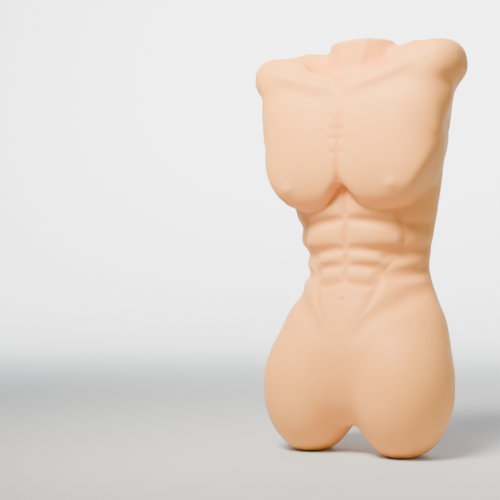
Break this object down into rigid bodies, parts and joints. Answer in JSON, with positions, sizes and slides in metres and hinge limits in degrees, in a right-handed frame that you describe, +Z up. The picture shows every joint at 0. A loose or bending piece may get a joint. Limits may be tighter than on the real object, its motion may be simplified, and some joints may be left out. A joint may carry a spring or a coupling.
{
  "type": "headless torso mannequin",
  "caption": "Soft headless, armless male torso form with moulded chest and belly muscles, a smooth featureless pelvis, flat thigh bases and a guessed inner frame.",
  "frame": {"origin": "on the ground, under the centre of the whole form's box", "axes": "+X towards the form's own left side, +Y towards its back, so the chest faces -Y, +Z up"},
  "size_m": [0.1886, 0.1166, 0.344],
  "materials": {
    "elastomer_skin": "soft matt cast elastomer, peach, slightly translucent",
    "elastomer_plug": "soft matt cast elastomer, a little darker than the skin",
    "foam_core": "cream closed-cell foam, fine pores",
    "frame_steel": "drawn steel with fine lengthwise marks",
    "fastener_zinc": "zinc-plated, slightly clouded"
  },
  "bodies": {
    "root": {"torso_skin": "elastomer_skin", "neck_plug": "elastomer_plug", "thigh_plug_left": "elastomer_plug", "thigh_plug_right": "elastomer_plug", "core_front": "foam_core", "core_back": "foam_core", "spine_tube": "frame_steel", "shoulder_bar": "frame_steel", "hip_bar": "frame_steel", "thigh_post_left": "frame_steel", "thigh_post_right": "frame_steel", "shoulder_bolt": "fastener_zinc", "shoulder_nut": "fastener_zinc", "hip_bolt": "fastener_zinc", "hip_nut": "fastener_zinc", "post_bolt_left": "fastener_zinc", "post_bolt_right": "fastener_zinc", "post_nut_left": "fastener_zinc", "post_nut_right": "fastener_zinc"}
  },
  "joints": []
}
